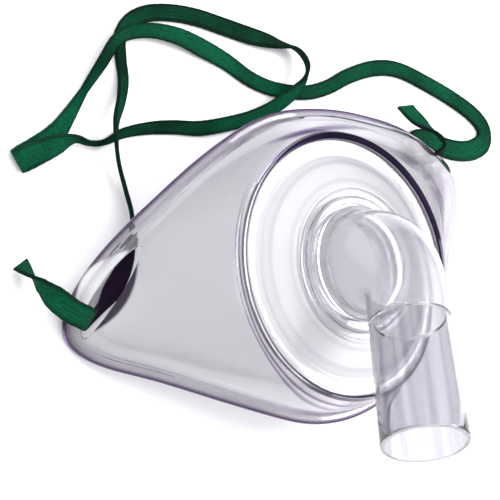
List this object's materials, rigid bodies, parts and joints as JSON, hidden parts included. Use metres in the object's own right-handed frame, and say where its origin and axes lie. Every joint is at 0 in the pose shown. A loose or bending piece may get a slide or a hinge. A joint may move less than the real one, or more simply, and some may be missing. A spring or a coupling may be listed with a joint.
{
  "type": "tracheostomy mask",
  "caption": "Clear saddle-shaped tracheostomy mask with a turned front, a swivelling right-angle elbow for 22 mm tubing and a flat elastic neck strap laced through its ears.",
  "frame": {"origin": "on the table, under the centre of the mask's round front, which is also the elbow's swivel axis", "axes": "+Z out of the mask's front along the swivel axis, +X towards one ear, +Y away from the side the outlet tube hangs to"},
  "size_m": [0.1834, 0.1316, 0.0744],
  "materials": {
    "clear_vinyl": "soft clear vinyl, glossy",
    "clear_port_plastic": "clear semi-rigid plastic",
    "clear_rigid_plastic": "clear rigid plastic, glossy",
    "green_elastic": "ribbed woven elastic"
  },
  "bodies": {
    "mask": {"mask_shell": "clear_vinyl", "port_ring": "clear_port_plastic", "neck_strap": "green_elastic"},
    "elbow": {"elbow_hub": "clear_rigid_plastic", "outlet_tube": "clear_rigid_plastic"}
  },
  "joints": [
    {"name": "elbow_swivel", "type": "hinge", "parent": "mask", "child": "elbow", "pos_m": [0, 0, 0.0287], "axis": [0, 0, 1], "continuous": true}
  ]
}
